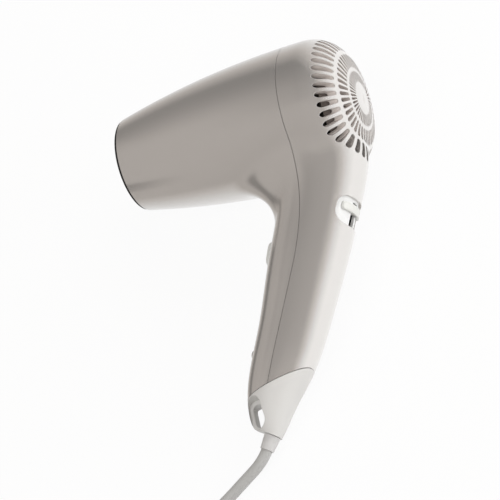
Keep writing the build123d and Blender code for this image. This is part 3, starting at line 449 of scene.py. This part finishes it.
class Finish(Nodes):
    """A material's nodes, from the patterns on the surface to its shader."""

    def __init__(self, name, **constants):
        self.material = bpy.data.materials.new(name)
        self.material.use_nodes = True
        super().__init__(self.material.node_tree)
        self.shader = self.tree.nodes["Principled BSDF"]
        self.feed(self.shader, {key.replace("_", " "): value for key, value in constants.items()})

    def place(self):
        """Where the surface is, in metres in the scene."""
        return self.node("ShaderNodeTexCoord", {}, {}, "Object")

    def upright(self):
        """Where the surface is along each upright axis, in millimetres."""
        inputs = {
            "Vector": self.place(),
            "Location": SET_DOWN,
            "Rotation": LAID.to_euler("XYZ"),
            "Scale": (MILLIMETRE, MILLIMETRE, MILLIMETRE),
        }
        place = self.node("ShaderNodeMapping", {"vector_type": "TEXTURE"}, inputs)
        return [self.axis(place, letter) for letter in "XYZ"]

    def under_dome(self):
        """How deep the surface lies under the dome and its shoulder, in millimetres."""
        along, across, height = self.upright()
        around = (across * across + height * height) ** 0.5
        off_shoulder = along - SHOULDER_X
        off_ring = around - SHOULDER_RING
        shoulder = SHOULDER_R - (off_shoulder * off_shoulder + off_ring * off_ring) ** 0.5
        off_dome = along - DOME_X
        dome = DOME_R - (off_dome * off_dome + around * around) ** 0.5
        rear = around.step("LESS_THAN", DOME_EDGE)
        return rear * dome + (1 - rear) * shoulder

    def in_pocket(self):
        """1 on the floor and walls of the slide switch's pocket, and 0 elsewhere."""
        along, across, height = self.upright()
        slide = along * POCKET_UP.x + height * POCKET_UP.z - POCKET_UP.dot(POCKET_MIDDLE)
        over = (abs(slide) - (POCKET_HEIGHT / 2 - POCKET_CORNER)).at_least(0.0)
        beside = (abs(across) - (POCKET_WIDTH / 2 - POCKET_CORNER)).at_least(0.0)
        reach = (over * over + beside * beside) ** 0.5
        rear = along.step("GREATER_THAN", POCKET_MIDDLE.x - POCKET_REACH)
        return (1 - reach.smooth(POCKET_CORNER - POCKET_BLUR, POCKET_CORNER)) * rear

    def noise(self, scale, detail=NOISE_DETAIL):
        """Soft random pattern with so many features to the metre."""
        inputs = {"Vector": self.place(), "Scale": scale, "Detail": detail}
        return self.node("ShaderNodeTexNoise", {}, inputs)

    def bump(self, height, depth, edge=0.0):
        """Normal that follows a height pattern so many metres deep, with edges rounded by so many metres."""
        inputs = {"Strength": 1.0, "Distance": depth, "Height": height}
        if edge:
            inputs["Normal"] = self.node("ShaderNodeBevel", {"samples": EDGE_SAMPLES}, {"Radius": edge})
        return self.node("ShaderNodeBump", {}, inputs)

    def wear(self, node_names):
        """Puts the finish on the CAD nodes."""
        for name in node_names:
            mesh = frame["nodes"][name].data
            mesh.materials.clear()
            mesh.materials.append(self.material)


def scaled(colour, share):
    """A colour made darker or lighter."""
    return tuple(channel * share for channel in colour)


def moulded(name, colour, roughness, grain=GRAIN_SCALE, depth=GRAIN_DEPTH, edge=0.0, **constants):
    """A finish of one colour with slight mottle and a fine grain."""
    finish = Finish(name, **constants)
    mottle = finish.noise(MOTTLE_SCALE)
    fine = finish.noise(grain)
    inputs = {
        "Base Color": finish.colour(mottle, scaled(colour, MOTTLE_SHADE), colour),
        "Roughness": fine * GRAIN_GLOSS + (roughness - GRAIN_GLOSS / 2),
        "Normal": finish.bump(fine, depth, edge),
    }
    finish.feed(finish.shader, inputs)
    return finish


def finish_stocks(stocks):
    """Gives the CAD nodes of each stock its finish."""
    for stock in stocks:
        finish = moulded(stock.name, stock.colour, stock.roughness, grain=stock.grain, Metallic=stock.metal)
        finish.wear(stock.nodes)


def shell_paint(paint):
    """Silver pearl paint that ends down in the slots, where lighter unpainted plastic is partly painted
    light, and in the switch's pocket, where a lighter plastic colour is painted light.
    """
    shell = Finish("shell_paint", IOR=PAINT_IOR, Coat_Roughness=LACQUER_ROUGHNESS)
    flake = shell.noise(FLAKE_SCALE, FLAKE_DETAIL)
    drift = shell.noise(DRIFT_SCALE)
    # Mask of the slot walls: unpainted plastic, made lighter as partly painted light.
    slot = shell.under_dome().smooth(*PAINT_END)
    # Mask of the switch's pocket, where a lighter colour is painted light.
    pocket = shell.in_pocket()
    bare_and_painted_light = slot.at_least(pocket)
    painted = 1 - bare_and_painted_light
    tone = (drift + flake) * 0.5
    silver = shell.colour(tone, scaled(paint.shell, SILVER_DARK), scaled(paint.shell, SILVER_LIGHT))
    inputs = {
        # Base colour: silver paint, the lighter slot plastic that is partly painted light, and the lighter
        # pocket colour that is painted light.
        "Base Color": shell.colour(pocket, shell.colour(slot, silver, paint.inside), paint.pocket),
        "Roughness": flake * FLAKE_ROUGHNESS + bare_and_painted_light * BARE_ROUGHNESS + PAINT_ROUGHNESS,
        "Metallic": painted * PAINT_METAL,
        "Coat Weight": painted * LACQUER,
        "Normal": shell.bump(shell.noise(PEEL_SCALE), PEEL_DEPTH, SHELL_EDGE),
    }
    shell.feed(shell.shader, inputs)
    return shell


def screen_felt():
    """Grey felt near the hub, darkening to brown towards the edge as painted shade behind the outer slots."""
    felt = Finish("screen_felt")
    across, height = felt.upright()[1:]
    around = (across * across + height * height) ** 0.5
    fibres = felt.noise(FELT_SCALE)
    # Painted shade: the felt darkens towards its edge, for the shade behind the outer slots.
    painted_shade = (around + fibres * SHADE_PATCHES).smooth(SHADE_START_R, SHADE_FULL_R)
    inputs = {
        "Base Color": felt.colour(painted_shade, FELT_GREY, FELT_SHADED),
        "Roughness": fibres * GRAIN_GLOSS + FELT_ROUGHNESS,
        "Normal": felt.bump(fibres, FELT_DEPTH),
    }
    felt.feed(felt.shader, inputs)
    return felt


def add_piece(name, shape, finish):
    """Makes a finished bmesh a piece of the housing, smooth but for its edges."""
    mesh = bpy.data.meshes.new(name)
    shape.to_mesh(mesh)
    shape.free()
    mesh.shade_smooth()
    mesh.set_sharp_from_angle(angle=SHARP_EDGE)
    mesh.materials.append(finish.material)
    piece = put(name, mesh)
    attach(piece, "housing")
    return piece


def round_edges(shape, edges, radius, segments):
    """Rounds some of a bmesh's edges."""
    bmesh.ops.bevel(
        shape, geom=edges, affect="EDGES", offset=radius, segments=segments, profile=0.5, material=-1
    )


def turn_round(shape, geometry, centre, axis, steps, merge):
    """Spins an outline once round an axis into a skin whose faces point outwards."""
    bmesh.ops.spin(
        shape, geom=geometry, cent=centre, axis=axis, angle=2 * pi, steps=steps, use_merge=True
    )
    bmesh.ops.remove_doubles(shape, verts=shape.verts, dist=merge)
    bmesh.ops.recalc_face_normals(shape, faces=shape.faces)


def spans(edge):
    """How far an edge reaches along each axis."""
    start, end = edge.verts
    return Vector([abs(share) for share in end.co - start.co])


class DRYER_OT_housings(bpy.types.Operator):
    """Paint the two housings and the screw cover"""

    bl_idname = "dryer.housings"
    bl_label = "Housings"

    def execute(self, context):
        shell = shell_paint(context.scene.dryer_paint)
        shell.wear(["front_housing", "rear_housing", "screw_cap"])
        return {"FINISHED"}


class DRYER_OT_end_cap(bpy.types.Operator):
    """Paint the end cap"""

    bl_idname = "dryer.end_cap"
    bl_label = "End cap"

    def execute(self, context):
        cap = moulded("cap_paint", context.scene.dryer_paint.cap, CAP_ROUGHNESS, edge=CAP_EDGE)
        cap.wear(["hanging_cap"])
        return {"FINISHED"}


class DRYER_OT_controls(bpy.types.Operator):
    """Finish the slide switch's knob and the push button"""

    bl_idname = "dryer.controls"
    bl_label = "Controls"

    def execute(self, context):
        knob = moulded("knob_plastic", context.scene.dryer_paint.knob, KNOB_ROUGHNESS, edge=KNOB_EDGE)
        knob.wear(["switch_knob", "hold_button"])
        return {"FINISHED"}


class DRYER_OT_relief(bpy.types.Operator):
    """Finish the strain relief"""

    bl_idname = "dryer.relief"
    bl_label = "Strain relief"

    def execute(self, context):
        paint = context.scene.dryer_paint
        rubber = moulded("relief_rubber", paint.relief, RELIEF_ROUGHNESS, edge=RELIEF_EDGE)
        rubber.wear(["strain_relief"])
        return {"FINISHED"}


class DRYER_OT_plastics(bpy.types.Operator):
    """Finish the grille and the plastic pieces inside"""

    bl_idname = "dryer.plastics"
    bl_label = "Plastic pieces"

    def execute(self, context):
        finish_stocks(PLASTICS)
        return {"FINISHED"}


class DRYER_OT_boards(bpy.types.Operator):
    """Finish the boards, the switch body and the other pieces that insulate"""

    bl_idname = "dryer.boards"
    bl_label = "Boards and insulation"

    def execute(self, context):
        finish_stocks(BOARDS)
        return {"FINISHED"}


class DRYER_OT_metals(bpy.types.Operator):
    """Finish the metal pieces of the motor, heater, screws and plug"""

    bl_idname = "dryer.metals"
    bl_label = "Metal pieces"

    def execute(self, context):
        finish_stocks(METALS)
        return {"FINISHED"}


class DRYER_OT_screen(bpy.types.Operator):
    """Fit the lint screen behind the dome's slots"""

    bl_idname = "dryer.screen"
    bl_label = "Lint screen"

    def execute(self, context):
        dome = DOME_R - RIB_DEPTH - SCREEN_GAP
        shoulder = SHOULDER_R - RIB_DEPTH - SCREEN_GAP
        start = asin(SCREEN_HOLE_R / dome)
        turn = atan2(SHOULDER_RING, SHOULDER_X - DOME_X)
        end = asin((SCREEN_EDGE_R - SHOULDER_RING) / shoulder)
        shape = bmesh.new()
        last = [shape.verts.new((DOME_X + dome * cos(start), 0.0, dome * sin(start)))]
        arcs = [((DOME_X, 0.0, 0.0), turn - start), ((SHOULDER_X, 0.0, SHOULDER_RING), end - turn)]
        for centre, sweep in arcs:
            made = bmesh.ops.spin(
                shape, geom=last, cent=centre, axis=(0, -1, 0), angle=sweep, steps=SCREEN_ARC_STEPS
            )
            last = [item for item in made["geom_last"] if isinstance(item, bmesh.types.BMVert)]
        outline = shape.verts[:] + shape.edges[:]
        turn_round(shape, outline, (0, 0, 0), (1, 0, 0), SCREEN_TURN_STEPS, SCREEN_MERGE)
        bmesh.ops.solidify(shape, geom=shape.faces[:], thickness=SCREEN_THICK)
        for vertex in shape.verts:
            vertex.co = placed(vertex.co)
        add_piece("lint_screen", shape, screen_felt())
        return {"FINISHED"}


class DRYER_OT_tie(bpy.types.Operator):
    """Wrap the hook-and-loop tie round the coil"""

    bl_idname = "dryer.tie"
    bl_label = "Cord tie"

    def execute(self, context):
        low, high = (Vector(corner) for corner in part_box("cord_tie"))
        middle = (low + high) / 2
        size = high - low
        shape = bmesh.new()
        loop_place = Matrix.Translation(middle) @ Matrix.Diagonal((*size, 1.0))
        bmesh.ops.create_cube(shape, size=1.0, matrix=loop_place)
        long_edges = [edge for edge in shape.edges if spans(edge).y > size.y / 2]
        round_edges(shape, long_edges, TIE_CORNER, TIE_SEGMENTS)
        ends = [face for face in shape.faces if abs(face.normal.y) > END_FACING]
        bmesh.ops.delete(shape, geom=ends, context="FACES_ONLY")
        bmesh.ops.solidify(shape, geom=shape.faces[:], thickness=TIE_THICK)
        tab_size = Matrix.Diagonal((TIE_TAB, size.y, TIE_THICK, 1.0))
        tab_place = Matrix.Translation((middle.x, middle.y, high.z + TIE_THICK / 2))
        tab = bmesh.ops.create_cube(shape, size=1.0, matrix=tab_place @ tab_size)
        tab_corners = set(tab["verts"])
        tab_edges = [edge for edge in shape.edges if tab_corners.issuperset(edge.verts)]
        upright = [edge for edge in tab_edges if spans(edge).z > TIE_THICK / 2]
        round_edges(shape, upright, size.y / 4, TIE_SEGMENTS)
        web = moulded("tie_webbing", TIE_COLOUR, TIE_ROUGHNESS, TIE_WEAVE_SCALE, TIE_WEAVE_DEPTH)
        tie = add_piece("coil_tie", shape, web)
        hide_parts("cord_tie")
        return {"FINISHED"}


def eased(share):
    """Smooth step between 0 and 1."""
    share = min(max(share, 0.0), 1.0)
    return share * share * (3 - 2 * share)


def coil_points(sizes):
    """Control points of the coil: inwards on the floor, up in the half turn that follows, outwards above."""
    inward = 2 * pi * sizes.layer_turns
    whole = 2 * inward + 2 * pi + PLUG_HEADING - ENTRY_HEADING
    count = round(whole / (2 * pi) * sizes.turn_points)
    step = whole / count
    points = []
    for number in range(count + 1):
        angle = number * step
        outward = max(angle - inward - pi, 0.0)
        reach = sizes.out_radius + sizes.turn_step / (2 * pi) * (outward - min(angle, inward + pi))
        reach += COIL_SPREAD * eased(outward / SPREAD_TURN)
        if 0 < number < count:
            reach /= cos(step / 2)
        rise = sizes.turn_step * eased((angle - inward) / pi)
        bearing = ENTRY_HEADING + angle
        points.append(COIL_CENTRE + Vector((-reach * sin(bearing), reach * cos(bearing), rise)))
    plug_way = Vector((-cos(PLUG_HEADING), -sin(PLUG_HEADING), 0.0))
    return points + [points[-1] + plug_way * PLUG_LEAD]


class DRYER_OT_sleeve(bpy.types.Operator):
    """Mould the ringed sleeve where the cord enters the plug"""

    bl_idname = "dryer.sleeve"
    bl_label = "Plug sleeve"

    def execute(self, context):
        root = coil_points(context.scene.dryer_cord)[-1]
        outline = [(0.0, SLEEVE_BORE_R)]
        for ring in range(SLEEVE_RINGS):
            start = ring * SLEEVE_PITCH
            end = start + SLEEVE_PITCH - SLEEVE_GROOVE
            reach = SLEEVE_ROOT_R + (SLEEVE_TIP_R - SLEEVE_ROOT_R) * ring / (SLEEVE_RINGS - 1)
            waist = (reach + SLEEVE_BORE_R) / 2
            outline += [(start, reach), (end, reach), (end, waist), (start + SLEEVE_PITCH, waist)]
        outline.append((SLEEVE_RINGS * SLEEVE_PITCH, SLEEVE_BORE_R))
        shape = bmesh.new()
        corners = [shape.verts.new(root + Vector((0.0, along, reach))) for along, reach in outline]
        edges = [shape.edges.new(pair) for pair in zip(corners, corners[1:])]
        turn_round(shape, corners + edges, root, (0, 1, 0), SLEEVE_TURN_STEPS, SLEEVE_MERGE)
        joined = [edge for edge in shape.edges if edge.is_manifold]
        rims = [edge for edge in joined if edge.calc_face_angle() > SLEEVE_RIM_ANGLE]
        round_edges(shape, rims, SLEEVE_EDGE, SLEEVE_EDGE_SEGMENTS)
        rubber = moulded("sleeve_rubber", context.scene.dryer_paint.cord, SLEEVE_ROUGHNESS)
        add_piece("plug_sleeve", shape, rubber)
        return {"FINISHED"}


class DRYER_OT_cord(bpy.types.Operator):
    """Lay the mains cord from the strain relief to its coil and plug"""

    bl_idname = "dryer.cord"
    bl_label = "Mains cord"

    def execute(self, context):
        sizes = context.scene.dryer_cord
        sheath = moulded("cord_sheath", context.scene.dryer_paint.cord, CORD_ROUGHNESS)
        sheath.wear(["cord_tail", "plug_body"])
        points = [placed(point) for point in CORD_START] + [Vector(point) for point in CORD_FLOOR]
        points += coil_points(sizes)
        curve = bpy.data.curves.new("mains_cord", "CURVE")
        curve.dimensions = "3D"
        curve.bevel_depth = sizes.diameter / 2
        curve.bevel_resolution = CORD_FACETS
        curve.resolution_u = CORD_FACETS
        curve.use_fill_caps = True
        curve.materials.append(sheath.material)
        spline = curve.splines.new("NURBS")
        spline.points.add(len(points) - 1)
        for control, point in zip(spline.points, points):
            control.co = (*point, 1.0)
        spline.order_u = 3
        spline.use_endpoint_u = True
        cord = put("mains_cord", curve)
        on_cord = [frame["nodes"][name] for name in CORD_NODES]
        on_cord += [bpy.data.objects[name] for name in CORD_PIECES]
        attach(cord, "housing")
        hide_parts("power_cord", "cord_coil")
        return {"FINISHED"}


def view_axes():
    """The camera's right, up and back directions in the scene."""
    back = (LAID @ VIEW_BACK).normalized()
    right = LAID @ VIEW_RIGHT
    right = (right - back * right.dot(back)).normalized()
    return right, back.cross(right), back


def add_camera(stage):
    """Sets up the camera where the photograph was taken from."""
    right, up, back = view_axes()
    camera = bpy.data.cameras.new("photo_camera")
    camera.lens = stage.lens
    camera.sensor_width = SENSOR_MM
    camera.clip_end = CLIP_END
    holder = put("photo_camera", camera)
    turned = Matrix((right, up, back)).transposed()
    holder.matrix_world = Matrix.LocRotScale(placed(LOOK_AT) + back * stage.distance, turned, None)
    bpy.context.scene.camera = holder


def add_sky():
    """Lights the dryer all round, and shows plain white to the camera."""
    world = bpy.data.worlds.new("studio")
    world.use_nodes = True
    bpy.context.scene.world = world
    sky = Nodes(world.node_tree)
    way = sky.node("ShaderNodeTexCoord", {}, {}, "Generated")
    right, back, up = (sky.axis(way, letter) for letter in "XYZ")
    left = 0.0 - right
    front = 0.0 - back
    down = 0.0 - up
    sweep = right * SWEEP_SIDE + back * SWEEP_BACK + down
    window = left.smooth(*WINDOW_SPAN)
    open_front = front.smooth(*FRONT_SPAN) * (1 - window)
    dip = back.smooth(*DIP_SPAN) * (DIP_DEPTH - left.smooth(*DIP_LEFT_SPAN) * DIP_LEFT_LIFT)
    room = (ROOM_LEVEL + window * WINDOW_LEVEL + open_front * FRONT_LEVEL) * (1 - dip)
    lit = (sweep * SWEEP_GAIN + SWEEP_LEVEL).at_least(room).at_most(1.0)
    strip = down.smooth(*STRIP_TOP) * (1 - down.smooth(*STRIP_FOOT)) * left.smooth(*STRIP_LEFT_SPAN)
    shade = lit * (1 - strip * STRIP_DEPTH)
    strength = shade.at_least(sky.ray("Is Camera Ray"))
    warmth = sky.colour(strength.smooth(*WARM_SPAN), WARM_TINT, WHITE)
    sky.feed(sky.tree.nodes["Background"], {"Color": warmth, "Strength": strength})


def add_lamp(lamp):
    """Hangs a soft lamp that faces the dryer and leaves no reflection of its own."""
    right, up, back = view_axes()
    toward = (right * lamp.way[0] + up * lamp.way[1] + back * lamp.way[2]).normalized()
    light = bpy.data.lights.new(lamp.name, "AREA")
    light.shape = "RECTANGLE"
    light.size, light.size_y = lamp.size
    light.energy = lamp.power
    holder = put(lamp.name, light)
    holder.location = placed(LOOK_AT) + toward * lamp.distance
    holder.rotation_euler = toward.to_track_quat("Z", "Y").to_euler()
    holder.visible_glossy = False


def add_floor(stage):
    """Lays the pale floor, which glows for the camera and lets reflections see the sky below it."""
    mesh = bpy.data.meshes.new("floor")
    shape = bmesh.new()
    bmesh.ops.create_grid(shape, x_segments=1, y_segments=1, size=FLOOR_REACH)
    shape.to_mesh(mesh)
    shape.free()
    floor = put("floor", mesh)
    paint = Finish("floor_paint", Base_Color=(*stage.floor, 1.0), Roughness=FLOOR_ROUGHNESS)
    body = Value(paint, paint.shader.outputs[0])
    glow = paint.node("ShaderNodeEmission", {}, {"Color": (*WHITE, 1.0), "Strength": 1.0})
    seen = paint.ray("Is Camera Ray").at_least(paint.ray("Is Transmission Ray"))
    lit = paint.node("ShaderNodeMixShader", {}, {0: seen * FLOOR_GLOW, 1: body, 2: glow})
    clear = paint.node("ShaderNodeBsdfTransparent", {}, {})
    mixed = paint.node("ShaderNodeMixShader", {}, {0: paint.ray("Is Glossy Ray"), 1: lit, 2: clear})
    paint.feed(paint.tree.nodes["Material Output"], {"Surface": mixed})
    mesh.materials.append(paint.material)


class DRYER_OT_stage(bpy.types.Operator):
    """Set the camera, the sky, the lamps and the floor"""

    bl_idname = "dryer.stage"
    bl_label = "Stage"

    def execute(self, context):
        stage = context.scene.dryer_stage
        context.scene.view_settings.view_transform = "Standard"
        add_camera(stage)
        add_sky()
        for lamp in LAMPS:
            add_lamp(lamp)
        add_floor(stage)
        return {"FINISHED"}


class DRYER_PT_panel(bpy.types.Panel):
    """Lists the dryer's settings and pieces"""

    bl_idname = "DRYER_PT_panel"
    bl_label = "Hair dryer"
    bl_space_type = "VIEW_3D"
    bl_region_type = "UI"
    bl_category = "Dryer"

    def draw(self, context):
        for name, group in GROUPS.items():
            for setting in group.__annotations__:
                self.layout.prop(getattr(context.scene, name), setting)
        for operator in OPERATORS:
            self.layout.operator(operator.bl_idname)


GROUPS = {"dryer_paint": DryerPaint, "dryer_cord": DryerCord, "dryer_stage": DryerStage}
OPERATORS = [
    DRYER_OT_stage,
    DRYER_OT_tie,
    DRYER_OT_sleeve,
    DRYER_OT_cord,
    DRYER_OT_relief,
    DRYER_OT_screen,
    DRYER_OT_housings,
    DRYER_OT_end_cap,
    DRYER_OT_controls,
    DRYER_OT_plastics,
    DRYER_OT_boards,
    DRYER_OT_metals,
]


def register():
    """Makes the classes known to Blender."""
    for name, group in GROUPS.items():
        bpy.utils.register_class(group)
        setattr(bpy.types.Scene, name, PointerProperty(type=group))
    for operator in OPERATORS:
        bpy.utils.register_class(operator)
    bpy.utils.register_class(DRYER_PT_panel)


def unregister():
    """Takes the classes out again."""
    bpy.utils.unregister_class(DRYER_PT_panel)
    for operator in reversed(OPERATORS):
        bpy.utils.unregister_class(operator)
    for name, group in GROUPS.items():
        delattr(bpy.types.Scene, name)
        bpy.utils.unregister_class(group)


def main():
    """Builds the scene."""
    register()
    bpy.ops.dryer.stage()
    bpy.ops.dryer.tie()
    bpy.ops.dryer.sleeve()
    bpy.ops.dryer.cord()
    bpy.ops.dryer.relief()
    bpy.ops.dryer.screen()
    bpy.ops.dryer.housings()
    bpy.ops.dryer.end_cap()
    bpy.ops.dryer.controls()
    bpy.ops.dryer.plastics()
    bpy.ops.dryer.boards()
    bpy.ops.dryer.metals()


if __name__ == "__main__":
    main()
